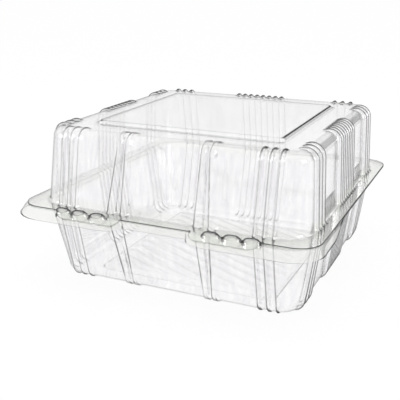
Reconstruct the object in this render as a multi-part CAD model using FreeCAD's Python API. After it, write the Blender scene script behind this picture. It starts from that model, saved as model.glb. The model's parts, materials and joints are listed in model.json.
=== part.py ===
import FreeCAD, Part
import math
import os

Vector = FreeCAD.Vector

# A clear hinged food pack, formed from one thin sheet.
# Millimetres, +Z up, origin at the middle of the pack on the table plane.
# The front, where the pack snaps shut, faces -Y. The hinge runs along X at the rear.

# Sheet
sheet = 0.5
closed_gap = 0.3

# Rounded corners are made of equal flat steps
corner_steps = 8

# Rim shared by the tray and the lid, and the mouth inside it
rim_half_x = 115.0
rim_half_y = 119.0
rim_corner = 17.0
rim_width_at_sides = 11.0
rim_width_at_ends = 11.5
mouth_corner = 20.0
mouth_half_x = rim_half_x - rim_width_at_sides
mouth_half_y = rim_half_y - rim_width_at_ends

# Tray
tray_depth = 63.0
tray_draft_at_sides = 6.6
tray_draft_at_ends = 12.5
tray_wall_end_corner = 17.0
tray_edge_radius = 9.0
tray_ring_at_sides = 16.4
tray_ring_at_ends = 15.0
floor_panel_rise = 2.5
floor_panel_slope = 1.5
panel_corner = 4.0
tray_wall_end_half_x = mouth_half_x - tray_draft_at_sides
tray_wall_end_half_y = mouth_half_y - tray_draft_at_ends
floor_panel_half_x = tray_wall_end_half_x - tray_edge_radius - tray_ring_at_sides
floor_panel_half_y = tray_wall_end_half_y - tray_edge_radius - tray_ring_at_ends

# Lid
lid_height = 56.0
lid_draft_at_sides = 2.0
lid_draft_at_ends = 8.5
lid_wall_end_corner = 17.0
lid_edge_radius = 8.0
lid_ring_at_sides = 20.3
lid_ring_at_ends = 23.5
top_panel_rise = 2.2
top_panel_slope = 1.5
lid_wall_end_half_x = mouth_half_x - lid_draft_at_sides
lid_wall_end_half_y = mouth_half_y - lid_draft_at_ends
top_panel_half_x = lid_wall_end_half_x - lid_edge_radius - lid_ring_at_sides
top_panel_half_y = lid_wall_end_half_y - lid_edge_radius - lid_ring_at_ends

# Wall ribs
rib_depth = 2.6
rib_root_width = 4.9
rib_crest_width = 2.4
rib_pitch = 5.9
middle_rib_count = 8
corner_rib_count = 3
front_corner_rib_inset = 0.0
front_corner_rib_pitch = 7.0
side_corner_rib_inset = 5.9
side_corner_rib_pitch = 7.8
lid_rib_run_over = 4.0
lid_rib_top_depth = 1.5
lid_rib_end_share = 0.1

# Paired broad ribs on the front, wider at the rim
front_pair_centres_at_rim = (29.0, 40.0)
front_pair_centres_at_end = (29.3, 36.0)
front_pair_width_at_rim = 9.6
front_pair_width_at_end = 6.0
front_pair_crest_share = 0.6

# Ridges across the raised floor
ridge_height = 1.0
ridge_width = 4.0
ridge_pitch = 10.5
ridge_angle = -27.0
ridge_margin = 4.0

# Turned-down lip of the tray rim at the front
lip_flare = 9.6
lip_drop = 5.85
notch_half = 25.0
notch_slant = 8.0
notch_flare = 0.6
notch_drop = 4.9
lip_side_flare = 3.0
lip_side_full_from_rim_end = 34.0
lip_side_length = 40.0
lip_end_flare = 0.4
lip_end_drop = 0.8

# Snap tabs of the lid and their studs
tab_inner_end = 27.0
tab_length = 52.0
tab_run_out = 3.0
tab_flare = 7.0
tab_drop = 3.3
tab_end_flare = 0.3
tab_end_drop = 0.2
studs_from_tab_end = (17.0, 32.0, 46.0)
stud_half_length = 6.6
stud_half_width = 4.1
stud_height = 2.5
stud_outward = 2.6
stud_sides = 12
stud_clearance = 0.45

# Hinge
hinge_bead_radius = 1.2
hinge_clearance = 0.4
hinge_end_gap = 23.0

# Derived places
rim_z = tray_depth
tray_rim_top = rim_z - closed_gap / 2
lid_rim_under = rim_z + closed_gap / 2
lid_rim_top = lid_rim_under + sheet
hinge_y = rim_half_y + hinge_bead_radius + hinge_clearance
outline_shift = (lip_flare - hinge_bead_radius - hinge_y + rim_half_y) / 2
hinge_half_length = rim_half_x - hinge_end_gap
tab_outer_end = tab_inner_end + tab_length
lip_side_full = rim_half_y - lip_side_full_from_rim_end
lip_side_end = lip_side_full - lip_side_length
overlap = 0.4
past_mouth = 2.0
flat_limit = 1e-5


def rounded_rectangle(half_x, half_y, corner, z):
    """Points of a rectangle at height z whose corners are rounded in equal steps."""
    points = []
    turns = ((1, 1, 0), (-1, 1, 90), (-1, -1, 180), (1, -1, 270))
    for sign_x, sign_y, start in turns:
        centre = Vector(sign_x * (half_x - corner), sign_y * (half_y - corner), z)
        for step in range(corner_steps + 1):
            turn = math.radians(start + 90 * step / corner_steps)
            points.append(centre + Vector(math.cos(turn), math.sin(turn), 0) * corner)
    return points


def flat_faces(points):
    """One flat face, or two triangles where four points don't lie in a plane."""
    if len(points) == 4:
        a, b, c, d = points
        normal = (b - a).cross(c - a)
        if abs(normal.dot(d - a)) > flat_limit * normal.Length:
            return flat_faces([a, b, c]) + flat_faces([a, c, d])
    return [Part.Face(Part.makePolygon(points + [points[0]]))]


def solid_through(rings):
    """Solid with flat ends through rings that have the same number of points."""
    faces = flat_faces(rings[0]) + flat_faces(rings[-1])
    count = len(rings[0])
    for low, high in zip(rings, rings[1:]):
        for index in range(count):
            following = (index + 1) % count
            faces += flat_faces([low[index], low[following], high[following], high[index]])
    shell = Part.Shell(faces)
    shell.sewShape()
    solid = Part.Solid(shell)
    if solid.Volume < 0:
        solid.reverse()
    return solid


def stacked_block(sections):
    """Solid through rounded rectangles given as (half_x, half_y, corner, z)."""
    return solid_through([rounded_rectangle(*section) for section in sections])


class Wall:
    """Path of a formed wall from the rim, round the edge and onto the flat end.

    Every place is the outer face. up is +1 for the lid and -1 for the tray.
    """

    def __init__(self, up, depth, end_half_x, end_half_y, end_corner, edge_radius):
        self.up = up
        self.end_half = (end_half_x, end_half_y)
        self.mouth_half = (mouth_half_x, mouth_half_y)
        self.end_corner = end_corner
        self.edge_radius = edge_radius
        self.flat_z = rim_z + up * depth
        self.arc_z = self.flat_z - up * edge_radius

    def section(self, inset, edge_angle):
        """Rounded rectangle at an angle round the edge, moved inward by inset."""
        turn = math.radians(edge_angle)
        reach = (self.edge_radius - inset) * math.cos(turn) - self.edge_radius
        height = self.arc_z + self.up * (self.edge_radius - inset) * math.sin(turn)
        corner = self.end_corner + reach
        return (self.end_half[0] + reach, self.end_half[1] + reach, corner, height)

    def block(self, inset, start_z):
        mouth = (mouth_half_x - inset, mouth_half_y - inset, mouth_corner - inset, start_z)
        steps = [self.section(inset, angle) for angle in (0, 45, 90)]
        return stacked_block([mouth] + steps)

    def path(self, axis, start_z, edge_steps, run_over):
        """Places (distance, height, outward, upward, depth share) along a rib."""
        end_half = self.end_half[axis]
        mouth_half = self.mouth_half[axis]
        slope = math.atan2(mouth_half - end_half, abs(self.arc_z - rim_z))
        outward = math.cos(slope)
        upward = self.up * math.sin(slope)
        places = [(mouth_half, start_z, outward, upward, 1.0)]
        centre = end_half - self.edge_radius
        for angle, share in edge_steps:
            turn = math.radians(angle)
            distance = centre + self.edge_radius * math.cos(turn)
            height = self.arc_z + self.up * self.edge_radius * math.sin(turn)
            places.append((distance, height, math.cos(turn), self.up * math.sin(turn), share))
        if run_over:
            length, share = run_over
            places.append((centre - length, self.flat_z, 0.0, self.up, share))
        return places


def turned(point, side):
    """Move a point of the front wall to the named side of the pack."""
    x, y, z = point
    quarter = {"front": (x, y), "rear": (-x, -y), "right": (-y, x), "left": (y, -x)}
    return Vector(quarter[side][0], quarter[side][1], z)


def side_axis(side):
    return 0 if side in ("left", "right") else 1


def rib(places, side, rim_centre, end_centre, rim_widths, end_widths, thinner):
    """Raised rib along a wall path, reduced all round by thinner."""
    rings = []
    last = len(places) - 1
    for index, (distance, height, outward, upward, share) in enumerate(places):
        mix = min(index, 1)
        centre = rim_centre + (end_centre - rim_centre) * mix
        root = (rim_widths[0] + (end_widths[0] - rim_widths[0]) * mix) / 2
        crest = (rim_widths[1] + (end_widths[1] - rim_widths[1]) * mix) / 2
        if index == last and share < 0.3:
            crest = crest * 0.8
        low = -thinner - overlap
        high = rib_depth * share - thinner
        corners = []
        for across, off in ((-root, low), (-crest, high), (crest, high), (root, low)):
            reduced = across - math.copysign(thinner * 0.8, across)
            y = -(distance + off * outward)
            z = height + off * upward
            corners.append(turned((centre + reduced, y, z), side))
        rings.append(corners)
    return solid_through(rings)


def rib_rows():
    """(side, rim centre, end centre, rim widths, end widths) of every rib."""
    plain = (rib_root_width, rib_crest_width)
    rows = []
    for side in ("front", "rear", "left", "right"):
        if side_axis(side) == 1:
            last = mouth_half_x - mouth_corner - front_corner_rib_inset
            pitch = front_corner_rib_pitch
        else:
            last = mouth_half_y - mouth_corner - side_corner_rib_inset
            pitch = side_corner_rib_pitch
        for index in range(corner_rib_count):
            place = last - index * pitch
            rows.append((side, place, place, plain, plain))
            rows.append((side, -place, -place, plain, plain))
        if side != "front":
            for index in range(middle_rib_count):
                place = (index - (middle_rib_count - 1) / 2) * rib_pitch
                rows.append((side, place, place, plain, plain))
    at_rim = (front_pair_width_at_rim, front_pair_width_at_rim * front_pair_crest_share)
    at_end = (front_pair_width_at_end, front_pair_width_at_end * front_pair_crest_share)
    for rim_place, end_place in zip(front_pair_centres_at_rim, front_pair_centres_at_end):
        rows.append(("front", rim_place, end_place, at_rim, at_end))
        rows.append(("front", -rim_place, -end_place, at_rim, at_end))
    return rows


def all_ribs(wall, thinner, start_z, edge_steps, run_over=None):
    ribs = []
    for side, rim_centre, end_centre, rim_widths, end_widths in rib_rows():
        axis = side_axis(side)
        places = wall.path(axis, start_z, edge_steps, run_over)
        ribs.append(rib(places, side, rim_centre, end_centre, rim_widths, end_widths, thinner))
    return ribs


def raised_panel(half_x, half_y, slope, foot_z, top_z):
    foot = (half_x + slope, half_y + slope, panel_corner + slope, foot_z)
    top = (half_x, half_y, panel_corner, top_z)
    return stacked_block([foot, top])


def rim_plate(under_z):
    outline = (rim_half_x, rim_half_y, rim_corner)
    return stacked_block([outline + (under_z,), outline + (under_z + sheet,)])


def sloped_strip(stations, top_z):
    """Sheet hanging from the rim: stations are (x, y, out_x, out_y, flare, drop)."""
    rings = []
    for x, y, out_x, out_y, flare, drop in stations:
        length = math.hypot(flare, drop)
        back = -drop / length * sheet
        down = -flare / length * sheet
        corners = []
        for out, fall in ((0, 0), (flare, -drop), (flare + back, down - drop), (back, down)):
            corners.append(Vector(x + out_x * out, y + out_y * out, top_z + fall))
        rings.append(corners)
    return solid_through(rings)


def lip_stations():
    """Half of the lip, from the right side round the corner to the middle notch."""
    corner_x = rim_half_x - rim_corner
    corner_y = -(rim_half_y - rim_corner)
    stations = [
        (rim_half_x, -lip_side_end, 1, 0, lip_end_flare, lip_end_drop),
        (rim_half_x, -lip_side_full, 1, 0, lip_side_flare, lip_drop),
    ]
    for step in range(corner_steps + 1):
        share = step / corner_steps
        turn = -math.radians(90 * share)
        out_x = math.cos(turn)
        out_y = math.sin(turn)
        flare = lip_side_flare + (lip_flare - lip_side_flare) * share
        x = corner_x + rim_corner * out_x
        y = corner_y + rim_corner * out_y
        stations.append((x, y, out_x, out_y, flare, lip_drop))
    stations.append((notch_half + notch_slant, -rim_half_y, 0, -1, lip_flare, lip_drop))
    stations.append((notch_half, -rim_half_y, 0, -1, notch_flare, notch_drop))
    return stations


def mirrored(stations):
    return [(-x, y, -out_x, out_y, flare, drop) for x, y, out_x, out_y, flare, drop in stations]


def tray_lip():
    right = lip_stations()
    left = mirrored(right)[::-1]
    return sloped_strip(right + left, tray_rim_top)


def lid_tab(sign):
    places = (
        (tab_inner_end, tab_end_flare, tab_end_drop),
        (tab_inner_end + tab_run_out, tab_flare, tab_drop),
        (tab_outer_end - tab_run_out, tab_flare, tab_drop),
        (tab_outer_end, tab_end_flare, tab_end_drop),
    )
    stations = [(sign * x, -rim_half_y, 0, -1, flare, drop) for x, flare, drop in places]
    return sloped_strip(stations, lid_rim_top)


def stud(x, top_z, slope, thinner):
    """Faceted oval dome standing on a sloped sheet, reduced all round by thinner."""
    levels = ((1.0, -overlap), (0.86, 0.6), (0.5, 1.0))
    along = Vector(0, -math.cos(slope), -math.sin(slope))
    normal = Vector(0, -math.sin(slope), math.cos(slope))
    centre = Vector(x, -rim_half_y, top_z) + along * stud_outward
    rings = []
    for spread, rise in levels:
        lift = stud_height * rise - thinner if rise > 0 else rise - thinner
        points = []
        for index in range(stud_sides):
            turn = 2 * math.pi * index / stud_sides
            across = (stud_half_length - thinner) * spread * math.cos(turn)
            out = (stud_half_width - thinner) * spread * math.sin(turn)
            points.append(centre + Vector(across, 0, 0) + along * out + normal * lift)
        rings.append(points)
    return solid_through(rings)


def studs(top_z, slope, thinner):
    places = [sign * (tab_inner_end + step) for step in studs_from_tab_end for sign in (1, -1)]
    return [stud(place, top_z, slope, thinner) for place in places]


def floor_ridges(top_z, thinner):
    """Parallel low ridges across the raised floor, kept to its flat part."""
    turn = math.radians(ridge_angle)
    along = Vector(math.cos(turn), math.sin(turn), 0)
    across = Vector(-math.sin(turn), math.cos(turn), 0)
    reach = floor_panel_half_x + floor_panel_half_y
    half = ridge_width / 2 - thinner * 0.5
    spread = floor_panel_half_y * math.cos(turn) + floor_panel_half_x * abs(math.sin(turn))
    each_way = int(spread / ridge_pitch)
    ridges = []
    for index in range(-each_way, each_way + 1):
        shift = index * ridge_pitch
        centre = across * shift + Vector(0, 0, top_z)
        start = centre - along * reach
        points = [
            start - across * half - Vector(0, 0, overlap),
            start + Vector(0, 0, ridge_height),
            start + across * half - Vector(0, 0, overlap),
        ]
        ridges.append(flat_faces(points)[0].extrude(along * reach * 2))
    keep_x = floor_panel_half_x - ridge_margin
    keep_y = floor_panel_half_y - ridge_margin
    low = top_z - 2 * overlap
    keep = Part.makeBox(
        2 * keep_x, 2 * keep_y, ridge_height + 3 * overlap, Vector(-keep_x, -keep_y, low)
    )
    return [ridge.common(keep) for ridge in ridges]


def hinge_bead():
    """Rolled bead along the fold, closed to a small tube round the hinge line."""
    start = Vector(-hinge_half_length, hinge_y, rim_z)
    along = Vector(1, 0, 0)
    outer = Part.makeCylinder(hinge_bead_radius, 2 * hinge_half_length, start, along)
    inner = Part.makeCylinder(hinge_bead_radius - sheet, 2 * hinge_half_length, start, along)
    web = Part.makeBox(
        2 * hinge_half_length,
        hinge_y - rim_half_y - hinge_bead_radius + sheet + overlap,
        sheet,
        Vector(-hinge_half_length, rim_half_y - overlap, tray_rim_top - sheet),
    )
    return [outer.cut(inner), web]


def pressed_rim(under_z, skirts, top_z, slope, thinner):
    """Rim plate with its skirts and the hollow studs pressed into them."""
    rim = rim_plate(under_z).fuse(skirts + studs(top_z, slope, thinner))
    return rim.cut(studs(top_z, slope, thinner + sheet))


def build_tray():
    wall = Wall(
        -1, tray_depth, tray_wall_end_half_x, tray_wall_end_half_y,
        tray_wall_end_corner, tray_edge_radius,
    )
    edge_steps = ((0, 1.0), (45, 0.5), (75, 0.06))
    outer = wall.block(0.0, tray_rim_top).fuse(all_ribs(wall, 0.0, tray_rim_top, edge_steps))
    open_z = tray_rim_top + past_mouth
    inner = wall.block(sheet, open_z).fuse(all_ribs(wall, sheet, open_z, edge_steps))
    island = raised_panel(
        floor_panel_half_x + sheet, floor_panel_half_y + sheet, floor_panel_slope,
        0.0, floor_panel_rise + sheet,
    )
    island = island.fuse(floor_ridges(floor_panel_rise + sheet, 0.0))
    pocket = raised_panel(
        floor_panel_half_x, floor_panel_half_y, floor_panel_slope,
        -overlap, floor_panel_rise,
    )
    pocket = pocket.fuse(floor_ridges(floor_panel_rise, sheet))
    slope = math.atan2(lip_drop, lip_flare)
    smaller = sheet + stud_clearance
    rim = pressed_rim(tray_rim_top - sheet, [tray_lip()], tray_rim_top, slope, smaller)
    outer = outer.removeSplitter().fuse([rim] + hinge_bead())
    inner = inner.removeSplitter().cut(island)
    return outer.cut(inner).cut(pocket)


def build_lid():
    wall = Wall(
        1, lid_height, lid_wall_end_half_x, lid_wall_end_half_y,
        lid_wall_end_corner, lid_edge_radius,
    )
    edge_steps = ((0, 1.0), (45, 0.8), (90, lid_rib_top_depth / rib_depth))
    run_over = (lid_rib_run_over, lid_rib_end_share)
    outer = wall.block(0.0, lid_rim_under)
    outer = outer.fuse(all_ribs(wall, 0.0, lid_rim_under, edge_steps, run_over))
    top_z = wall.flat_z
    panel = raised_panel(
        top_panel_half_x, top_panel_half_y, top_panel_slope,
        top_z - overlap, top_z + top_panel_rise,
    )
    slope = math.atan2(tab_drop, tab_flare)
    rim = pressed_rim(lid_rim_under, [lid_tab(1), lid_tab(-1)], lid_rim_top, slope, 0.0)
    outer = outer.removeSplitter().fuse([rim, panel])
    open_z = lid_rim_under - past_mouth
    inner = wall.block(sheet, open_z)
    inner = inner.fuse(all_ribs(wall, sheet, open_z, edge_steps, run_over))
    hollow_panel = raised_panel(
        top_panel_half_x - sheet, top_panel_half_y - sheet, top_panel_slope,
        top_z - sheet - overlap, top_z + top_panel_rise - sheet,
    )
    return outer.cut(inner.removeSplitter().fuse(hollow_panel))


def main():
    os.makedirs("parts", exist_ok=True)
    for name, shape in (("tray", build_tray()), ("lid", build_lid())):
        solid = shape.Solids[0]
        solid.translate(Vector(0, outline_shift, 0))
        print(name, len(shape.Solids), solid.isValid(), solid.Volume, solid.BoundBox)
        solid.exportStep("parts/" + name + ".step")


main()
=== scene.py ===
import json
import math

import bmesh
import bpy
import numpy as np
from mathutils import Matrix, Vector


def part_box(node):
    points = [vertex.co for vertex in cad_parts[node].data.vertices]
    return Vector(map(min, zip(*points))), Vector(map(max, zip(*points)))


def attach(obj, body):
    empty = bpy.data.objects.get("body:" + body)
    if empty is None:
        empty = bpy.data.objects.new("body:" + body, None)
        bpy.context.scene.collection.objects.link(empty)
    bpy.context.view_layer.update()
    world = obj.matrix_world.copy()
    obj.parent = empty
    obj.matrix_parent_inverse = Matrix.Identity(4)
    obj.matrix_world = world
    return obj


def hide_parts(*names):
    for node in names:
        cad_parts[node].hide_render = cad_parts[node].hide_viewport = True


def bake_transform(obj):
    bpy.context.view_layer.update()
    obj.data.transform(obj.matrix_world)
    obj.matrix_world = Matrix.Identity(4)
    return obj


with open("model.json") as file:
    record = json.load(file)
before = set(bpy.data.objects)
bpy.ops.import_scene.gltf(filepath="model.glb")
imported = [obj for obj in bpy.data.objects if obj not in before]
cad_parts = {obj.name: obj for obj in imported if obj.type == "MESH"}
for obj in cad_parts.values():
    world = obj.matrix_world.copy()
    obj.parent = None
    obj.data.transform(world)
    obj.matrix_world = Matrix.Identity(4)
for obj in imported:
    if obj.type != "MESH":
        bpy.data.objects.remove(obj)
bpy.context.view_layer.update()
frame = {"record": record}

# Lengths below are in millimetres, made metres only when a mesh is written.
MM = 0.001
LID_HIGH = np.array(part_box("lid")[1]) / MM
HINGE_AT = [value / MM for value in frame["record"]["behaviour"]["joints"][0]["pos_m"]]

# Sheet and rim. An outline is half its width in x, half its depth in y and its corner
# radius, centred on the middle of the pack, which lies SHIFT_Y behind the origin.
SHEET = 0.5
CLOSED_GAP = 0.3
RIM_Z = HINGE_AT[2]
RIM_HALF_X = float(LID_HIGH[0])
RIM_HALF_Y = 119.0
SHIFT_Y = float(LID_HIGH[1]) - RIM_HALF_Y
RIM_CORNER = 17.0
RIM_INSET = 4.0
# Rows over the rim's edge start this far out from it, so inside it
FLARE_START = -3.0
MOUTH_HALF_X = 104.0
MOUTH_HALF_Y = 107.5
MOUTH_CORNER = 20.0
# Outward from the mouth and along the wall, for each row of the fillet there
MOUTH_FILLET = ((2.8, 0.0), (1.5, 0.0), (0.45, 0.45), (0.0, 1.5))

# Straight part of each side that carries ribs, as a half length
SPAN_X = 86.8
SPAN_Y = 84.5

# Ribs
RIB_DEPTH = 2.6
RIB_ROOT_WIDTH = 4.9
RIB_CREST_WIDTH = 0.6
RIB_PITCH = 5.9
MIDDLE_RIBS = 8
CORNER_RIBS = 3
FRONT_CORNER_FIRST = 70.0
FRONT_CORNER_PITCH = 7.0
SIDE_CORNER_FIRST = 66.0
SIDE_CORNER_PITCH = 7.8
PAIR_AT_RIM = (29.0, 40.0)
PAIR_AT_END = (29.3, 36.0)
PAIR_WIDTH_AT_RIM = 9.6
PAIR_WIDTH_AT_END = 6.0
PAIR_CREST_SHARE = 0.5

# Foot of the tray, with the rib height left at each degree of the turn round its edge
TRAY_END = (97.4, 95.0, 17.0)
TRAY_EDGE = 9.0
TRAY_EDGE_RIBS = ((0, 1.0), (45, 0.5), (75, 0.06), (80, 0.0), (90, 0.0))
FLOOR_PANEL = (72.0, 71.0, 4.0)
FLOOR_RISE = 2.5
FLOOR_GRID = (68.0, 67.0)
FLOOR_GRID_STEP = 1.6

# Top of the lid, with the rib height left round its edge and by inset across the ring
LID_END = (102.0, 99.0, 17.0)
LID_EDGE = 8.0
LID_EDGE_RIBS = ((0, 1.0), (45, 0.8), (90, 0.58))
LID_RING_RIBS = ((1.0, 0.5), (2.2, 0.36), (3.2, 0.18), (4.2, 0.0), (5.0, 0.0))
RING_CORNER_SHARE = 0.8
LID_RISE = 56.0
TOP_PANEL = (73.7, 67.5, 4.0)
TOP_RISE = 2.2
TOP_GRID = (69.0, 63.0)
TOP_GRID_POINTS = 40
TOP_SAG = 0.8

# Step up to a raised panel: outward from its edge, and share of its rise
PANEL_SLOPE = 1.5
PANEL_CORNER_SHARE = 0.5
PANEL_STEP = (
    (PANEL_SLOPE + 2.2, 0.0), (PANEL_SLOPE + 1.2, 0.0), (PANEL_SLOPE + 0.4, 0.06),
    (PANEL_SLOPE, 0.2), (PANEL_SLOPE / 2, 0.5),
    (0.0, 0.8), (-0.4, 0.94), (-1.2, 1.0), (-2.2, 1.0),
)

# Lip of the tray, and tabs of the lid
LIP_FLARE = 9.3
LIP_DROP = 5.85
LIP_STRAIGHT_SHARE = 0.35
LIP_SIDE_FLARE = 2.6
LIP_SIDE_END = 45.0
NOTCH_HALF = 25.0
NOTCH_RUN_OUT = 18.0
NOTCH_FLARE = 0.6
NOTCH_DROP = 4.9
TAB_INNER = 27.0
TAB_OUTER = 79.0
TAB_RUN_OUT = 7.0
TAB_FLARE = 7.0
TAB_DROP = 3.3
PLAIN_FLARE = 0.3
PLAIN_DROP = 0.02

# Studs of the lid, and how much smaller those of the tray are
STUDS = (44.0, 59.0, 73.0)
STUD_HALF_LENGTH = 7.2
STUD_HALF_WIDTH = 5.1
STUD_HEIGHT = 2.9
STUD_OUTWARD = 2.7
STUD_SMALLER = 0.95
STUD_FLANK = 0.3
STUD_TO_EDGE = 1.2
# Added to places on the other sides, so that no stud reaches them
NO_STUD_HERE = 1000.0

# Floor ridges
RIDGE_HEIGHT = 0.9
RIDGE_WIDTH = 7.5
RIDGE_PITCH = 10.5
RIDGE_ANGLE = -27.0
RIDGE_RUN_OUT = 4.0

# Strip of the fold
FOLD_HALF_LENGTH = 92.0
FOLD_RADIUS = 1.55
FOLD_HALF_TURN = 80
FOLD_LAP = 1.0
FOLD_FLAT_TO_HINGE = 0.4
FOLD_CENTRE_TO_HINGE = 0.2
FOLD_STEPS = 8
FOLD_COLUMNS = 60

# Spacing of mesh points along the rim, and rows of them across each form
FINE_STEP = 0.6
STUD_STEP = 0.75
STUD_ZONE = (NOTCH_HALF - 1, TAB_OUTER + 2)
CLOSEST_STEP = 0.25
RIB_STEPS = (0.0, 0.45, 0.9, 1.35, 1.8, 2.25, 2.6, 3.1)
COARSE_STEP = 6.0
CORNER_POINTS = 12
ARC_POINTS = 30
RIM_ROWS = 12
WALL_STEPS = 7
EDGE_STEPS = 8
# Degrees between faces above which shading stays sharp
SHARP_ANGLE = 50

# Forming leaves the sheet thick at the locks, and the rest of the rim nearly as thick
GAUGE_FULL = 4.0
GAUGE_RUN = 5.0
PLAIN_GAUGE = 0.75

# Bends in turn per millimetre for the painted shade: a wide curve, and the least and the full
# sharp fold
WIDE_CURVE = 0.05
LEAST_FOLD = 0.08
FULL_FOLD = 0.45
# Painted fold shade reaches as far as the next point where that is this close, on walls and in
# front
CLOSE_POINTS = 0.6
CLOSE_RIM_POINTS = 0.9
# Strength of the painted shade of a fold in its root against that on its crest
ROOT_SHARE = 0.2
# Painted fold shade is stronger on the side walls, this far out, but not in the fillet at the
# mouth
SIDE_FROM = 93.0
SIDE_FOLD = 1.5
MOUTH_DEPTH = 2.4
MOUTH_TO = MOUTH_HALF_X + 5.0
# Least length in metres that an area is divided by
LEAST_LENGTH = 1e-9

# Colours of light through the sheet where clear, streaked and thick, of the painted shade
# grey at folds and where it is seen along it, of its cut edge painted dark as shade, and of the
# floor
WHITE = (1.0, 1.0, 1.0, 1.0)
CLEAR = (0.998, 0.997, 0.998, 1.0)
STREAKED = (0.957, 0.952, 0.963, 1.0)
THICK = (0.925, 0.932, 0.91, 1.0)
PAINTED_SHADE_GREY = (0.05, 0.055, 0.05, 1.0)
PAINTED_EDGE_SHADE = (0.01, 0.012, 0.01, 1.0)
FLOOR_GREY = (0.9, 0.9, 0.9, 1.0)

# Powers of the angle of view by which painted shade on flat sheet and wide curves, and the mirror
# image, show
FLAT_POWER = 12.0
CURVE_POWER = 6.0
MIRROR_POWER = 2.0
MIRROR_LEAST = 0.28
MIRROR_MORE = 0.35
# How much painted shade hides the mirror image, how much more painted fold shade shows where
# thick, and the range over which it comes in
GREY_HIDES_MIRROR = 0.85
THICK_SHOWS_FOLD = 0.13
FOLD_SHOWS = (0.3, 0.62)

# Roughness of the sheet and its waves, whose height is in metres
SHEET_ROUGHNESS = 0.03
ROUGHEST_SHARE = 2.2
WAVE_SCALE = 14.0
WAVE_DETAIL = 2.0
WAVE_STRENGTH = 0.25
WAVE_HEIGHT = 0.0006
# Streaks that forming draws down the walls, which grow as the normal turns level
STREAK_SCALE = 260.0
STREAK_DETAIL = 2.0
STREAK_STRETCH = (1.0, 1.0, 0.04)
STREAK_SHOWS = (0.38, 0.62)
WALL_TILT = (0.8, 0.3)
# Cut edge
EDGE_GRAIN = 180.0
EDGE_ROUGHNESS = 0.4
EDGE_SHINE = 0.2

# Studio, in metres and watts. A grey patch of the room shows in reflections alone.
FLOOR_REACH = 6.0
FLOOR_GLOW = 0.92
PATCH_TOWARD = (0.46, 0.88, 0.1)
PATCH_EDGE = (0.86, 0.95)
PATCH_STRENGTH = 0.35
LAMP_AIM = (0.0, 0.0, 0.06)
# Name, place, size and power of each lamp, and whether reflections show it
LAMPS = (
    ("over", (0.1, -0.2, 1.3), 1.0, 4.0, False),
    ("left", (-1.2, -0.9, 0.5), 0.5, 1.8, True),
    ("front", (0.5, -1.6, 0.6), 0.5, 1.8, False),
    ("right", (1.4, -0.3, 0.5), 0.5, 1.8, True),
)
LIGHT_BOUNCES = 32

# Camera, worked out from the straight edges of the photograph. Its place is from the
# middle of the pack at the rim's height, and its angles are in degrees.
CAMERA_PLACE = (216.5, -517.5, 169.2)
CAMERA_AZIMUTH = 24.47
CAMERA_ELEVATION = 18.37
FOCAL_PIXELS = 700.0
IMAGE_PIXELS = 400
SENSOR_WIDTH = 36.0

# Name, outward direction and direction along each side
SIDES = (
    ("front", (0.0, -1.0), (1.0, 0.0)),
    ("right", (1.0, 0.0), (0.0, 1.0)),
    ("rear", (0.0, 1.0), (-1.0, 0.0)),
    ("left", (-1.0, 0.0), (0.0, -1.0)),
)


def smooth(value):
    """Rise from 0 to 1, level at both ends."""
    value = np.clip(value, 0.0, 1.0)
    return value * value * (3 - 2 * value)


def quarter_round(value):
    """Rise from 0 to 1 along a quarter of a circle, steep at first."""
    return np.sqrt(1 - (1 - np.clip(value, 0.0, 1.0)) ** 2)


def side_ribs(side):
    """(place at rim, place at end, root and crest widths at rim, at end) of each rib."""
    plain = (RIB_ROOT_WIDTH, RIB_CREST_WIDTH)
    ribs = []
    lengthwise = side in ("front", "rear")
    first = FRONT_CORNER_FIRST if lengthwise else SIDE_CORNER_FIRST
    pitch = FRONT_CORNER_PITCH if lengthwise else SIDE_CORNER_PITCH
    for index in range(CORNER_RIBS):
        for sign in (-1, 1):
            place = sign * (first + index * pitch)
            ribs.append((place, place, plain, plain))
    if side != "front":
        for index in range(MIDDLE_RIBS):
            place = (index - (MIDDLE_RIBS - 1) / 2) * RIB_PITCH
            ribs.append((place, place, plain, plain))
        return ribs
    at_rim = (PAIR_WIDTH_AT_RIM, PAIR_WIDTH_AT_RIM * PAIR_CREST_SHARE)
    at_end = (PAIR_WIDTH_AT_END, PAIR_WIDTH_AT_END * PAIR_CREST_SHARE)
    for rim_place, end_place in zip(PAIR_AT_RIM, PAIR_AT_END):
        for sign in (-1, 1):
            ribs.append((sign * rim_place, sign * end_place, at_rim, at_end))
    return ribs


RIBS = {side[0]: side_ribs(side[0]) for side in SIDES}


def wanted_places(side, span):
    """Places along one side that need a point: ribs, studs and the two ends."""
    places = [-span, span]
    for rim_place, end_place, rim_widths, end_widths in RIBS[side]:
        if rim_place == end_place:
            places += [rim_place + sign * step for step in RIB_STEPS for sign in (-1, 1)]
            continue
        low = min(rim_place - rim_widths[0] / 2, end_place - end_widths[0] / 2)
        high = max(rim_place + rim_widths[0] / 2, end_place + end_widths[0] / 2)
        places += list(np.arange(low, high, FINE_STEP))
    if side == "front":
        zone = np.arange(*STUD_ZONE, STUD_STEP)
        places += list(zone) + list(-zone)
    return sorted(place for place in places if abs(place) <= span)


def side_stations(side):
    """Places along one side, close together over the flanks of ribs and over studs."""
    span = SPAN_X if side in ("front", "rear") else SPAN_Y
    places = wanted_places(side, span)
    kept = [places[0]]
    for place in places[1:]:
        if place - kept[-1] > CLOSEST_STEP:
            kept.append(place)
    kept[-1] = span
    stations = []
    for low, high in zip(kept, kept[1:]):
        count = max(1, math.ceil((high - low) / COARSE_STEP))
        stations += list(np.linspace(low, high, count, endpoint=False))
    stations.append(span)
    return np.array(stations)


STATIONS = {side[0]: side_stations(side[0]) for side in SIDES}


def half_and_span(side, half_x, half_y):
    """Distance out to a side, its own half length, and the half length with ribs."""
    if side in ("front", "rear"):
        return half_y, half_x, SPAN_X
    return half_x, half_y, SPAN_Y


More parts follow.
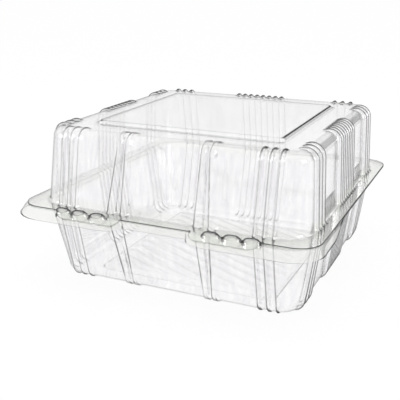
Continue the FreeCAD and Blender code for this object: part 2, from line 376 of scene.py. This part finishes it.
def drawn_in(place, other, corner, base):
    """Places along a side moved in step with a smaller outline than the base's."""
    if base is None:
        return place
    base_other, base_corner = base
    base_straight = base_other - base_corner
    inner = np.minimum(np.abs(place), base_straight) * (other - corner) / base_straight
    outer = np.maximum(np.abs(place) - base_straight, 0) * corner / base_corner
    return np.sign(place) * (inner + outer)


def bases(side, base):
    """Half length and corner of the base outline along a side and along the next one."""
    if base is None:
        return None, None
    base_x, base_y, base_corner = base
    along_x, along_y = (base_x, base_corner), (base_y, base_corner)
    return (along_x, along_y) if side in ("front", "rear") else (along_y, along_x)


def corner_path(start, end, half, other, corner):
    """Points (along, outward) round a corner, with the turn at each."""
    centre_along = other - corner
    centre_out = half - corner
    first = math.asin(np.clip((start - centre_along) / corner, 0, 1))
    last = math.pi / 2 - math.asin(np.clip((end - centre_out) / corner, 0, 1))
    angles = np.linspace(first, last, ARC_POINTS)
    path = [(start, half)] if start < centre_along else []
    turns = [first] * len(path)
    path += [
        (centre_along + corner * math.sin(a), centre_out + corner * math.cos(a)) for a in angles
    ]
    turns += list(angles)
    if end < centre_out:
        path.append((other, end))
        turns.append(last)
    return np.array(path), turns


def corner_run(side_index, half_x, half_y, corner, base=None):
    """Points, outward directions and share of the turn round the corner after a side."""
    name, normal, along = SIDES[side_index]
    half, other, span = half_and_span(name, half_x, half_y)
    next_span = half_and_span(SIDES[(side_index + 1) % 4][0], half_x, half_y)[2]
    this_base, next_base = bases(name, base)
    start = float(drawn_in(span, other, corner, this_base))
    end = float(drawn_in(next_span, half, corner, next_base))
    path, turns = corner_path(start, end, half, other, corner)
    lengths = np.concatenate([[0], np.cumsum(np.linalg.norm(np.diff(path, axis=0), axis=1))])
    wanted = np.linspace(0, lengths[-1], CORNER_POINTS + 2)[1:-1]
    tangent = np.interp(wanted, lengths, path[:, 0])
    outward = np.interp(wanted, lengths, path[:, 1])
    turn = np.interp(wanted, lengths, turns)
    normal, along = np.array(normal), np.array(along)
    points = outward[:, None] * normal + tangent[:, None] * along
    ways = np.cos(turn)[:, None] * normal + np.sin(turn)[:, None] * along
    return points, ways, turn / (math.pi / 2)


def ring(half_x, half_y, corner, base=None):
    """Points and outward directions all round a rounded rectangle."""
    points, ways = [], []
    for index, (name, normal, along) in enumerate(SIDES):
        half, other, span = half_and_span(name, half_x, half_y)
        place = drawn_in(STATIONS[name], other, corner, bases(name, base)[0])
        past = np.clip(np.abs(place) - (other - corner), 0, corner)
        outward = half - (corner - np.sqrt(corner ** 2 - past ** 2))
        normal, along = np.array(normal), np.array(along)
        points.append(outward[:, None] * normal + place[:, None] * along)
        ways.append(np.repeat(normal[None, :], len(place), axis=0))
        corner_points, corner_ways, _turns = corner_run(index, half_x, half_y, corner, base)
        points.append(corner_points)
        ways.append(corner_ways)
    return np.concatenate(points), np.concatenate(ways)


def around(on_side, on_corner):
    """Values for every point of a ring from one function each for sides and corners."""
    values = []
    for index, (name, _normal, _along) in enumerate(SIDES):
        values.append(on_side(name, STATIONS[name]))
        values.append(on_corner(index))
    return np.concatenate(values)


def same_on_corners(value):
    """The same value at every point of a corner."""
    return lambda index: np.full(CORNER_POINTS, value)


def rib_relief(mix):
    """Height of the ribs, from 0 to 1, mix going from the rim to the wall's end."""
    def on_side(name, place):
        height = np.zeros(len(place))
        for rim_place, end_place, rim_widths, end_widths in RIBS[name]:
            centre = rim_place + (end_place - rim_place) * mix
            root = (rim_widths[0] + (end_widths[0] - rim_widths[0]) * mix) / 2
            crest = (rim_widths[1] + (end_widths[1] - rim_widths[1]) * mix) / 2
            height = np.maximum(height, smooth((root - np.abs(place - centre)) / (root - crest)))
        return height
    return around(on_side, same_on_corners(0.0))


def level(outline, z, relief=0.0, out=1.0, up=0.0, mix=1.0, base=None):
    """Row of points round an outline, with its ribs raised by shares outward and upward."""
    points, ways = ring(*outline, base)
    height = np.full(len(points), float(z))
    if relief:
        raised = rib_relief(mix) * RIB_DEPTH * relief
        points = points + ways * (raised * out)[:, None]
        height = height + raised * up
    return np.column_stack([points, height])


def grown(outline, out, corner_share=1.0):
    """Outline moved outward, with its corner radius growing by a share of that."""
    half_x, half_y, corner = outline
    return half_x + out, half_y + out, corner + out * corner_share


def stud_relief(along, scale):
    """Height of the studs, from 0 to 1, at each point's distance along the flare."""
    place = around(
        lambda name, places: places if name == "front" else places + NO_STUD_HERE,
        same_on_corners(NO_STUD_HERE),
    )
    raised = np.zeros(len(along))
    for stud in STUDS:
        across = (np.abs(place) - stud) / (STUD_HALF_LENGTH * scale)
        beyond = (along - STUD_OUTWARD) / (STUD_HALF_WIDTH * scale)
        spread = np.sqrt(across ** 2 + beyond ** 2)
        raised = np.maximum(raised, smooth((1 - spread) / STUD_FLANK))
    return raised


def rim_rows(z, flare, drop, stud_scale, stud_height):
    """Rows from the flat rim over its edge and down the flare."""
    points, ways = ring(RIM_HALF_X, RIM_HALF_Y, RIM_CORNER)
    length = np.hypot(flare, drop)
    tilt = math.atan2(TAB_DROP, TAB_FLARE)
    rows = []
    for index in range(RIM_ROWS + 1):
        along = FLARE_START + (length - FLARE_START) * (1 - index / RIM_ROWS)
        share = np.clip(along / length, 0, 1)
        out = np.where(along < 0, along, flare * share)
        bent = LIP_STRAIGHT_SHARE * share + (1 - LIP_STRAIGHT_SHARE) * share ** 2
        row = np.column_stack([points + ways * out[:, None], z - drop * bent])
        raised = stud_relief(along, stud_scale) * smooth((length - along) / STUD_TO_EDGE)
        row[:, :2] += ways * (raised * stud_height * math.sin(tilt))[:, None]
        row[:, 2] += raised * stud_height * math.cos(tilt)
        rows.append(row)
    return rows


def tray_lip(notch, front, side, plain):
    """One measure of the tray's lip, from its value at the notch, front, sides and rear."""
    def on_side(name, place):
        if name == "front":
            inward = quarter_round((np.abs(place) - NOTCH_HALF) / NOTCH_RUN_OUT)
            return notch + (front - notch) * inward
        if name == "rear":
            return np.full(len(place), plain)
        forward = -place if name == "right" else place
        share = smooth((forward - LIP_SIDE_END) / (SPAN_Y - LIP_SIDE_END))
        return plain + (side - plain) * share

    # Corner 0 comes after the front, and corner 3 before it.
    def on_corner(index):
        turns = corner_run(index, RIM_HALF_X, RIM_HALF_Y, RIM_CORNER)[2]
        if index == 0:
            return front + (side - front) * turns
        if index == 3:
            return side + (front - side) * turns
        return np.full(CORNER_POINTS, plain)
    return around(on_side, on_corner)


def lid_tabs(full, plain):
    """One measure of the lid's edge, from its value on the tabs and elsewhere."""
    def on_side(name, place):
        if name != "front":
            return np.full(len(place), plain)
        rise = quarter_round((np.abs(place) - TAB_INNER) / TAB_RUN_OUT)
        fall = quarter_round((TAB_OUTER - np.abs(place)) / TAB_RUN_OUT)
        return plain + (full - plain) * rise * fall
    return around(on_side, same_on_corners(plain))


def mouth_rows(z, up):
    """Rows across the flat rim and through the fillet at the mouth."""
    inset = (RIM_HALF_X - RIM_INSET, RIM_HALF_Y - RIM_INSET, RIM_CORNER)
    rows = [level(inset, z)]
    mouth = (MOUTH_HALF_X, MOUTH_HALF_Y, MOUTH_CORNER)
    for out, along_wall in MOUTH_FILLET:
        rows.append(level(grown(mouth, out), z + up * along_wall, 1.0, mix=0.0))
    return rows


def wall_rows(up, z, end, edge_radius, flat_z, edge_ribs):
    """Rows along a wall and round its edge, onto the flat at its end."""
    mouth = (MOUTH_HALF_X, MOUTH_HALF_Y, MOUTH_CORNER)
    arc_z = flat_z - up * edge_radius
    start_z = z + up * MOUTH_FILLET[-1][1]
    rows = []
    for index in range(1, WALL_STEPS):
        mix = index / WALL_STEPS
        outline = [start + (stop - start) * mix for start, stop in zip(mouth, end)]
        rows.append(level(outline, start_z + (arc_z - start_z) * mix, 1.0, mix=mix))
    for index in range(EDGE_STEPS + 1):
        angle = 90.0 * index / EDGE_STEPS
        turn = math.radians(angle)
        outline = grown(end, edge_radius * (math.cos(turn) - 1))
        height = arc_z + up * edge_radius * math.sin(turn)
        relief = float(np.interp(angle, *zip(*edge_ribs)))
        rows.append(level(outline, height, relief, math.cos(turn), up * math.sin(turn), base=end))
    return rows


def ring_rows(end, edge_radius, flat_z, ring_ribs):
    """Rows across the flat ring inside a rounded edge, where the ribs die out."""
    crease = grown(end, -edge_radius)
    rows = []
    for inset, relief in ring_ribs:
        outline = grown(crease, -inset, RING_CORNER_SHARE)
        rows.append(level(outline, flat_z, relief, 0.0, 1.0, base=end))
    return rows


def panel_rows(base, panel, flat_z, rise):
    """Rows from a flat ring up a rounded step onto a raised panel."""
    return [
        level(grown(panel, out, PANEL_CORNER_SHARE), flat_z + rise * share, base=base)
        for out, share in PANEL_STEP
    ]


def skin(rows):
    """Faces joining neighbouring rows all the way round."""
    count = len(rows[0])
    faces = []
    for index in range(len(rows) - 1):
        low = index * count
        high = low + count
        for point in range(count):
            following = (point + 1) % count
            faces.append((low + point, low + following, high + following, high + point))
    return faces


def plan_grid(half_x, half_y, count_x, count_y):
    """Places of a grid centred on the middle of the pack."""
    return np.meshgrid(
        np.linspace(-half_x, half_x, count_x), np.linspace(-half_y, half_y, count_y),
    )


def grid_patch(grid_x, grid_y, height):
    """Points and faces of a grid that has a height at each place."""
    points = np.column_stack([grid_x.ravel(), grid_y.ravel(), height.ravel()])
    deep, wide = grid_x.shape
    faces = []
    for row in range(deep - 1):
        for column in range(wide - 1):
            first = row * wide + column
            faces.append((first, first + 1, first + wide + 1, first + wide))
    return points, faces


def top_patch(z):
    """Grid over the lid's raised panel, sagging a little to its middle."""
    half_x, half_y = TOP_GRID
    grid_x, grid_y = plan_grid(half_x, half_y, TOP_GRID_POINTS, TOP_GRID_POINTS)
    bowl = (1 - (grid_x / half_x) ** 2) * (1 - (grid_y / half_y) ** 2)
    return grid_patch(grid_x, grid_y, z - TOP_SAG * bowl)


def ridge_relief(x, y):
    """Height of the slanting floor ridges, from 0 to 1."""
    turn = math.radians(RIDGE_ANGLE)
    across = -x * math.sin(turn) + y * math.cos(turn)
    nearest = np.abs(across - np.round(across / RIDGE_PITCH) * RIDGE_PITCH)
    return smooth((RIDGE_WIDTH / 2 - nearest) / (RIDGE_WIDTH / 2))


def floor_patch(z):
    """Grid over the raised floor with its slanting ridges."""
    half_x, half_y = FLOOR_GRID
    counts = [int(2 * half / FLOOR_GRID_STEP) for half in FLOOR_GRID]
    grid_x, grid_y = plan_grid(half_x, half_y, *counts)
    margin = np.minimum(half_x - np.abs(grid_x), half_y - np.abs(grid_y))
    relief = ridge_relief(grid_x, grid_y) * smooth(margin / RIDGE_RUN_OUT)
    return grid_patch(grid_x, grid_y, z + RIDGE_HEIGHT * relief)


def link_mesh(name, mesh):
    """Object for a mesh, in the scene."""
    obj = bpy.data.objects.new(name, mesh)
    bpy.context.collection.objects.link(obj)
    return obj


def sheet_object(name, rows, patch, out_z):
    """Sheet through the rows with a grid inside its last row, facing out_z at its end."""
    points = np.concatenate(rows)
    faces = skin(rows)
    last = len(points) - len(rows[0])
    start = len(points)
    points = np.concatenate([points, patch[0]])
    faces += [tuple(start + corner for corner in face) for face in patch[1]]
    points = (points + np.array([0.0, SHIFT_Y, 0.0])) * MM
    mesh = bpy.data.meshes.new(name)
    mesh.from_pydata([tuple(point) for point in points], [], faces)
    mesh.update()
    fill_between(mesh, last, out_z)
    return link_mesh(name, mesh)


def fill_between(mesh, last, out_z):
    """Flat faces between the last row and the grid inside it, all facing outward."""
    shape = bmesh.new()
    shape.from_mesh(mesh)
    edges = [
        edge for edge in shape.edges
        if len(edge.link_faces) == 1 and min(v.index for v in edge.verts) >= last
    ]
    bmesh.ops.triangle_fill(shape, use_beauty=True, use_dissolve=False, edges=edges)
    bmesh.ops.recalc_face_normals(shape, faces=shape.faces)
    if out_z * sum(face.normal.z * face.calc_area() for face in shape.faces) < 0:
        bmesh.ops.reverse_faces(shape, faces=shape.faces)
    shape.to_mesh(mesh)
    shape.free()


def thicken(obj):
    """Give the sheet its thickness, inward from its outer face, and settle the mesh."""
    solid = obj.modifiers.new("thickness", "SOLIDIFY")
    solid.thickness = SHEET * MM
    solid.offset = -1.0
    solid.use_rim = True
    solid.material_offset_rim = 1
    graph = bpy.context.evaluated_depsgraph_get()
    final = bpy.data.meshes.new_from_object(obj.evaluated_get(graph))
    obj.modifiers.clear()
    obj.data = final
    final.shade_smooth()
    final.set_sharp_from_angle(angle=math.radians(SHARP_ANGLE))
    mark_bends(final)
    mark_gauge(final)


def point_places(mesh):
    """Place of every point, in metres."""
    places = np.empty(len(mesh.vertices) * 3)
    mesh.vertices.foreach_get("co", places)
    return places.reshape(-1, 3)


def face_values(mesh, name, width):
    """One value or more for every face."""
    values = np.empty(len(mesh.polygons) * width)
    mesh.polygons.foreach_get(name, values)
    return values.reshape(-1, width)


def faces_by_edge(mesh):
    """The two faces at each shared edge, and the edge's two ends."""
    corners = face_values(mesh, "loop_total", 1).astype(int).ravel()
    face_of_loop = np.repeat(np.arange(len(corners)), corners)
    edge_of_loop = np.empty(len(mesh.loops), dtype=np.int32)
    mesh.loops.foreach_get("edge_index", edge_of_loop)
    order = np.argsort(edge_of_loop, kind="stable")
    edges, starts, counts = np.unique(
        edge_of_loop[order], return_index=True, return_counts=True,
    )
    shared = counts == 2
    one = face_of_loop[order[starts[shared]]]
    other = face_of_loop[order[starts[shared] + 1]]
    pairs = np.empty(len(mesh.edges) * 2, dtype=np.int32)
    mesh.edges.foreach_get("vertices", pairs)
    return one, other, pairs.reshape(-1, 2)[edges[shared]]


def write_on_points(mesh, name, values):
    """Keep a value for every point on the mesh, for the material to read."""
    layer = mesh.attributes.new(name, "FLOAT", "POINT")
    layer.data.foreach_set("value", values)


def edge_bends(mesh, places):
    """Ends, length and turn per millimetre of each shared edge, and that less in roots."""
    normals = face_values(mesh, "normal", 3)
    centres = face_values(mesh, "center", 3)
    areas = face_values(mesh, "area", 1).ravel()
    one, other, ends = faces_by_edge(mesh)
    length = np.linalg.norm(places[ends[:, 0]] - places[ends[:, 1]], axis=1)
    turn = np.linalg.norm(normals[one] - normals[other], axis=1)
    width = (areas[one] + areas[other]) / np.maximum(length, LEAST_LENGTH) / 2 / MM
    sharp = turn / np.maximum(width, SHEET)
    # The first half of the points are those of the sheet's outer face.
    outer = ends[:, 0] < len(places) // 2
    falls = np.einsum("ij,ij->i", normals[one], centres[other] - centres[one]) < 0
    return ends, length, sharp, sharp * np.where(falls == outer, 1.0, ROOT_SHARE)


def most_at_points(ends, values, count):
    """Largest value of the edges that meet at each point."""
    most = np.zeros(count)
    for end in (0, 1):
        np.maximum.at(most, ends[:, end], values)
    return most


def spread_folds(fold, ends, length, places):
    """Painted fold shade carried on to the next point where that is close."""
    in_front = -places[ends[:, 0], 1] / MM > MOUTH_HALF_Y
    close = ends[length < np.where(in_front, CLOSE_RIM_POINTS, CLOSE_POINTS) * MM]
    spread = fold.copy()
    np.maximum.at(spread, close[:, 0], fold[close[:, 1]])
    np.maximum.at(spread, close[:, 1], fold[close[:, 0]])
    return spread


def mark_bends(mesh):
    """Note on each point how sharply the sheet bends there, and the strength of the painted shade
    at a fold.
    """
    places = point_places(mesh)
    ends, length, sharp, less_in_roots = edge_bends(mesh, places)
    bend = most_at_points(ends, sharp, len(places))
    fold = most_at_points(ends, less_in_roots, len(places))
    spread = spread_folds(fold, ends, length, places)
    # Strength of the painted shade along each fold
    fold_shade = np.clip((spread - LEAST_FOLD) / (FULL_FOLD - LEAST_FOLD), 0, 1)
    across = np.abs(places[:, 0]) / MM
    at_mouth = (np.abs(places[:, 2] / MM - RIM_Z) < MOUTH_DEPTH) & (across < MOUTH_TO)
    fold_shade *= np.where((across > SIDE_FROM) & ~at_mouth, SIDE_FOLD, 1.0)
    write_on_points(mesh, "bend", bend)
    write_on_points(mesh, "fold", fold_shade)


def mark_gauge(mesh):
    """Note on each point how thick forming has left the sheet, from 0 to 1."""
    places = point_places(mesh) / MM
    at_rim = smooth(1 - (np.abs(places[:, 2] - RIM_Z) - GAUGE_FULL) / GAUGE_RUN)
    forward = smooth((-places[:, 1] - MOUTH_HALF_Y) / GAUGE_RUN)
    along = np.abs(places[:, 0])
    lock = forward * smooth((along - TAB_INNER) / GAUGE_RUN)
    lock *= smooth((TAB_OUTER + GAUGE_RUN - along) / GAUGE_RUN)
    write_on_points(mesh, "gauge", at_rim * (PLAIN_GAUGE + (1 - PLAIN_GAUGE) * lock))


def feed(tree, socket, value):
    """Join a socket to an output, or give it a number or colour of its own."""
    if isinstance(value, bpy.types.NodeSocket):
        tree.links.new(value, socket)
    else:
        socket.default_value = value


def add(tree, kind, values):
    """New shader node with its sockets fed by name."""
    node = tree.nodes.new("ShaderNode" + kind)
    for name, value in values.items():
        feed(tree, node.inputs[name], value)
    return node


def calc(tree, operation, *values):
    """Result of a sum on outputs and numbers."""
    node = tree.nodes.new("ShaderNodeMath")
    node.operation = operation
    for socket, value in zip(node.inputs, values):
        feed(tree, socket, value)
    return node.outputs[0]


def scaled(tree, value, source, target=(0.0, 1.0), ramp="LINEAR"):
    """Value moved from one range to another and kept inside it."""
    node = add(tree, "MapRange", {
        "Value": value, "From Min": source[0], "From Max": source[1],
        "To Min": target[0], "To Max": target[1],
    })
    node.interpolation_type = ramp
    return node.outputs["Result"]


def mix_colours(tree, share, one, other):
    """Colour between two, by a share of the second."""
    node = tree.nodes.new("ShaderNodeMix")
    node.data_type = "RGBA"
    feed(tree, node.inputs["Factor"], share)
    feed(tree, node.inputs["A"], one)
    feed(tree, node.inputs["B"], other)
    return node.outputs["Result"]


def mix_shaders(tree, share, one, other):
    """Shader between two, by a share of the second."""
    node = tree.nodes.new("ShaderNodeMixShader")
    for socket, value in zip(node.inputs, (share, one, other)):
        feed(tree, socket, value)
    return node.outputs[0]


def on_points(tree, name):
    """Value that the mesh keeps for every point."""
    node = tree.nodes.new("ShaderNodeAttribute")
    node.attribute_name = name
    return node.outputs["Fac"]


def object_place(tree):
    """Place on the object."""
    return add(tree, "TexCoord", {}).outputs["Object"]


def bare_material(name):
    """Material with only its output node, and its node tree."""
    material = bpy.data.materials.new(name)
    material.use_nodes = True
    tree = material.node_tree
    tree.nodes.remove(tree.nodes["Principled BSDF"])
    return material, tree


def sheet_tint(tree, gauge):
    """Colour of light through the sheet: streaked down its walls, greener where thick."""
    stretched = add(tree, "Mapping", {"Vector": object_place(tree), "Scale": STREAK_STRETCH})
    streak = add(tree, "TexNoise", {
        "Vector": stretched.outputs["Vector"], "Scale": STREAK_SCALE, "Detail": STREAK_DETAIL,
    })
    drawn = scaled(tree, streak.outputs["Fac"], STREAK_SHOWS)
    normal = add(tree, "NewGeometry", {}).outputs["Normal"]
    upward = add(tree, "SeparateXYZ", {"Vector": normal}).outputs["Z"]
    on_wall = scaled(tree, calc(tree, "ABSOLUTE", upward), WALL_TILT)
    streaked = calc(tree, "MULTIPLY", drawn, on_wall)
    return mix_colours(tree, gauge, mix_colours(tree, streaked, CLEAR, STREAKED), THICK)


def painted_grey_share(tree, facing, gauge):
    """Share of painted shade on the sheet: where it is seen edge on, at wide curves and at folds.
    """
    curved = scaled(tree, on_points(tree, "bend"), (0.0, WIDE_CURVE))
    curve = calc(tree, "MULTIPLY", curved, calc(tree, "POWER", facing, CURVE_POWER))
    outline = calc(tree, "MAXIMUM", calc(tree, "POWER", facing, FLAT_POWER), curve)
    looked_at = calc(tree, "MULTIPLY_ADD", gauge, THICK_SHOWS_FOLD, facing)
    crossed = calc(tree, "MULTIPLY", on_points(tree, "fold"), looked_at)
    folded = scaled(tree, crossed, FOLD_SHOWS, ramp="SMOOTHSTEP")
    return calc(tree, "MAXIMUM", outline, folded)


def mirror_share(tree, facing, painted_shade):
    """Share of the mirror image, which grows edge on and is broken up at the painted shade lines.
    """
    grazing = calc(tree, "POWER", facing, MIRROR_POWER)
    mirror = calc(tree, "MULTIPLY_ADD", grazing, MIRROR_MORE, MIRROR_LEAST)
    unbroken = calc(tree, "MULTIPLY_ADD", painted_shade, -GREY_HIDES_MIRROR, 1.0)
    return calc(tree, "MULTIPLY", mirror, unbroken)


def clear_plastic():
    """Clear formed sheet that mirrors more, and takes more painted grey shade, the flatter it is
    looked along.
    """
    material, tree = bare_material("clear_sheet")
    wave = add(tree, "TexNoise", {
        "Vector": object_place(tree), "Scale": WAVE_SCALE, "Detail": WAVE_DETAIL,
    }).outputs["Fac"]
    normal = add(tree, "Bump", {
        "Height": wave, "Strength": WAVE_STRENGTH, "Distance": WAVE_HEIGHT,
    }).outputs["Normal"]
    roughness = scaled(
        tree, wave, (0.0, 1.0), (SHEET_ROUGHNESS, SHEET_ROUGHNESS * ROUGHEST_SHARE),
    )
    facing = add(tree, "LayerWeight", {"Blend": 0.5, "Normal": normal}).outputs["Facing"]
    gauge = on_points(tree, "gauge")
    painted_shade = painted_grey_share(tree, facing, gauge)
    through = add(tree, "BsdfTransparent", {"Color": sheet_tint(tree, gauge)})
    # Painted shade: dark grey let through at folds, bends and where the sheet is seen edge on
    along = add(tree, "BsdfTransparent", {"Color": PAINTED_SHADE_GREY})
    gloss = add(tree, "BsdfGlossy", {"Color": WHITE, "Roughness": roughness, "Normal": normal})
    body = mix_shaders(tree, painted_shade, through.outputs[0], along.outputs[0])
    mirror = mirror_share(tree, facing, painted_shade)
    whole = mix_shaders(tree, mirror, body, gloss.outputs[0])
    feed(tree, tree.nodes["Material Output"].inputs["Surface"], whole)
    return material


def cut_edge():
    """Trimmed edge of the sheet, painted near black as shade, grained with the painted shade
    grey.
    """
    material = bpy.data.materials.new("sheet_edge")
    material.use_nodes = True
    tree = material.node_tree
    grain = add(tree, "TexNoise", {"Vector": object_place(tree), "Scale": EDGE_GRAIN})
    # Painted shade: the clear edge is coloured near black, mixed by noise with the painted shade
    # grey
    tint = mix_colours(tree, grain.outputs["Fac"], PAINTED_EDGE_SHADE, PAINTED_SHADE_GREY)
    shader = tree.nodes["Principled BSDF"]
    feed(tree, shader.inputs["Base Color"], tint)
    feed(tree, shader.inputs["Roughness"], EDGE_ROUGHNESS)
    feed(tree, shader.inputs["Specular IOR Level"], EDGE_SHINE)
    return material


def build_tray():
    """Tray from its lip down to the floor panel."""
    z = RIM_Z - CLOSED_GAP / 2 - SHEET
    flare = tray_lip(NOTCH_FLARE, LIP_FLARE, LIP_SIDE_FLARE, PLAIN_FLARE)
    drop = tray_lip(NOTCH_DROP, LIP_DROP, LIP_DROP, PLAIN_DROP)
    stud_scale = 1 - STUD_SMALLER / STUD_HALF_WIDTH
    rows = rim_rows(z, flare, drop, stud_scale, STUD_HEIGHT - STUD_SMALLER)
    rows += mouth_rows(z, -1)
    rows += wall_rows(-1, z, TRAY_END, TRAY_EDGE, 0.0, TRAY_EDGE_RIBS)
    rows += panel_rows(TRAY_END, FLOOR_PANEL, 0.0, FLOOR_RISE)
    return sheet_object("tray_sheet", rows, floor_patch(FLOOR_RISE), -1)


def build_lid():
    """Lid from its tabs up to the top panel."""
    z = RIM_Z + CLOSED_GAP / 2 + SHEET
    flat_z = RIM_Z + LID_RISE
    flare = lid_tabs(TAB_FLARE, PLAIN_FLARE)
    drop = lid_tabs(TAB_DROP, PLAIN_DROP)
    rows = rim_rows(z, flare, drop, 1.0, STUD_HEIGHT)
    rows += mouth_rows(z, 1)
    rows += wall_rows(1, z, LID_END, LID_EDGE, flat_z, LID_EDGE_RIBS)
    rows += ring_rows(LID_END, LID_EDGE, flat_z, LID_RING_RIBS)
    rows += panel_rows(LID_END, TOP_PANEL, flat_z, TOP_RISE)
    return sheet_object("lid_sheet", rows, top_patch(flat_z + TOP_RISE), 1)


def fold_profile():
    """Places (y, z) of the strip from under the tray's rim to the top of the lid's."""
    start = RIM_HALF_Y - FOLD_LAP
    hinge_y = HINGE_AT[1] - SHIFT_Y
    low = RIM_Z - CLOSED_GAP / 2 - SHEET
    high = RIM_Z + CLOSED_GAP / 2 + SHEET
    centre_y = hinge_y - FOLD_CENTRE_TO_HINGE
    centre_z = RIM_Z + SHEET / 4
    profile = [(start, low), (hinge_y - FOLD_FLAT_TO_HINGE, low)]
    for step in range(FOLD_STEPS + 1):
        turn = math.radians(FOLD_HALF_TURN * (2 * step / FOLD_STEPS - 1))
        across = centre_y + FOLD_RADIUS * math.cos(turn)
        profile.append((across, centre_z + FOLD_RADIUS * math.sin(turn)))
    return profile + [(hinge_y - FOLD_FLAT_TO_HINGE, high), (start, high)]


def build_fold():
    """Strip of sheet bent round the hinge line, from the tray's rim to the lid's."""
    profile = fold_profile()
    points = []
    for column in range(FOLD_COLUMNS + 1):
        x = -FOLD_HALF_LENGTH + 2 * FOLD_HALF_LENGTH * column / FOLD_COLUMNS
        for y, z in profile:
            points.append((x * MM, (y + SHIFT_Y) * MM, z * MM))
    faces = []
    deep = len(profile)
    for column in range(FOLD_COLUMNS):
        for row in range(deep - 1):
            first = column * deep + row
            faces.append((first, first + deep, first + deep + 1, first + 1))
    mesh = bpy.data.meshes.new("hinge_fold")
    mesh.from_pydata(points, [], faces)
    return link_mesh("hinge_fold", mesh)


def floor_material():
    """White floor that takes a soft shadow and shows white to the camera and in mirrors."""
    material, tree = bare_material("floor")
    path = add(tree, "LightPath", {})
    seen = calc(tree, "MAXIMUM", path.outputs["Is Camera Ray"], path.outputs["Is Glossy Ray"])
    matt = add(tree, "BsdfDiffuse", {"Color": FLOOR_GREY})
    glow = add(tree, "Emission", {"Color": WHITE})
    share = calc(tree, "MULTIPLY", seen, FLOOR_GLOW)
    whole = mix_shaders(tree, share, matt.outputs[0], glow.outputs[0])
    feed(tree, tree.nodes["Material Output"].inputs["Surface"], whole)
    return material


def floor():
    """Floor under the pack."""
    mesh = bpy.data.meshes.new("floor")
    corners = [(-1, -1), (1, -1), (1, 1), (-1, 1)]
    mesh.from_pydata(
        [(x * FLOOR_REACH, y * FLOOR_REACH, 0) for x, y in corners], [], [(0, 1, 2, 3)],
    )
    mesh.materials.append(floor_material())
    link_mesh("floor", mesh)


def studio_world():
    """White room with a grey patch behind the pack that only reflections show."""
    world = bpy.data.worlds.new("studio")
    bpy.context.scene.world = world
    world.use_nodes = True
    tree = world.node_tree
    white = tree.nodes["Background"]
    feed(tree, white.inputs["Color"], WHITE)
    feed(tree, white.inputs["Strength"], 1.0)
    shade = add(tree, "Background", {"Color": WHITE, "Strength": PATCH_STRENGTH})
    toward = tree.nodes.new("ShaderNodeVectorMath")
    toward.operation = "DOT_PRODUCT"
    feed(tree, toward.inputs[0], add(tree, "TexCoord", {}).outputs["Generated"])
    feed(tree, toward.inputs[1], PATCH_TOWARD)
    patch = scaled(tree, toward.outputs["Value"], PATCH_EDGE, ramp="SMOOTHSTEP")
    mirrored = mix_shaders(tree, patch, white.outputs[0], shade.outputs[0])
    path = add(tree, "LightPath", {})
    room = mix_shaders(tree, path.outputs["Is Glossy Ray"], white.outputs[0], mirrored)
    whole = mix_shaders(tree, path.outputs["Is Camera Ray"], room, white.outputs[0])
    feed(tree, tree.nodes["World Output"].inputs["Surface"], whole)


def lamps():
    """Soft square lamps, all aimed at the middle of the pack."""
    for name, place, size, power, in_mirrors in LAMPS:
        lamp = bpy.data.lights.new(name, "AREA")
        lamp.shape = "SQUARE"
        lamp.size = size
        lamp.energy = power
        obj = bpy.data.objects.new(name, lamp)
        obj.location = place
        obj.visible_glossy = in_mirrors
        aim = Vector(LAMP_AIM) - Vector(place)
        obj.rotation_euler = aim.to_track_quat("-Z", "Y").to_euler()
        bpy.context.collection.objects.link(obj)


def camera():
    """Camera of the photograph."""
    azimuth = math.radians(CAMERA_AZIMUTH)
    elevation = math.radians(CAMERA_ELEVATION)
    across, forward, above = CAMERA_PLACE
    back = Vector((
        math.sin(azimuth) * math.cos(elevation),
        -math.cos(azimuth) * math.cos(elevation),
        math.sin(elevation),
    ))
    data = bpy.data.cameras.new("camera")
    data.sensor_width = SENSOR_WIDTH
    data.lens = SENSOR_WIDTH * FOCAL_PIXELS / IMAGE_PIXELS
    obj = bpy.data.objects.new("camera", data)
    bpy.context.collection.objects.link(obj)
    obj.location = Vector((across, forward + SHIFT_Y, above + RIM_Z)) * MM
    obj.rotation_euler = (-back).to_track_quat("-Z", "Y").to_euler()
    bpy.context.scene.camera = obj


def render_settings():
    """Plain view, and enough bounces for every layer of clear sheet."""
    scene = bpy.context.scene
    scene.view_settings.view_transform = "Standard"
    scene.cycles.max_bounces = LIGHT_BOUNCES
    scene.cycles.glossy_bounces = LIGHT_BOUNCES
    scene.cycles.transmission_bounces = LIGHT_BOUNCES
    scene.cycles.transparent_max_bounces = LIGHT_BOUNCES


def main():
    """The pack, its stage and its camera."""
    plastic = clear_plastic()
    edge = cut_edge()
    tray = build_tray()
    lid = build_lid()
    fold = build_fold()
    for obj in (tray, lid, fold):
        obj.data.materials.append(plastic)
        obj.data.materials.append(edge)
        thicken(obj)
    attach(tray, "base")
    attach(lid, "cover")
    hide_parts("tray")
    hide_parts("lid")
    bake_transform(fold)
    floor()
    studio_world()
    lamps()
    camera()
    render_settings()


main()
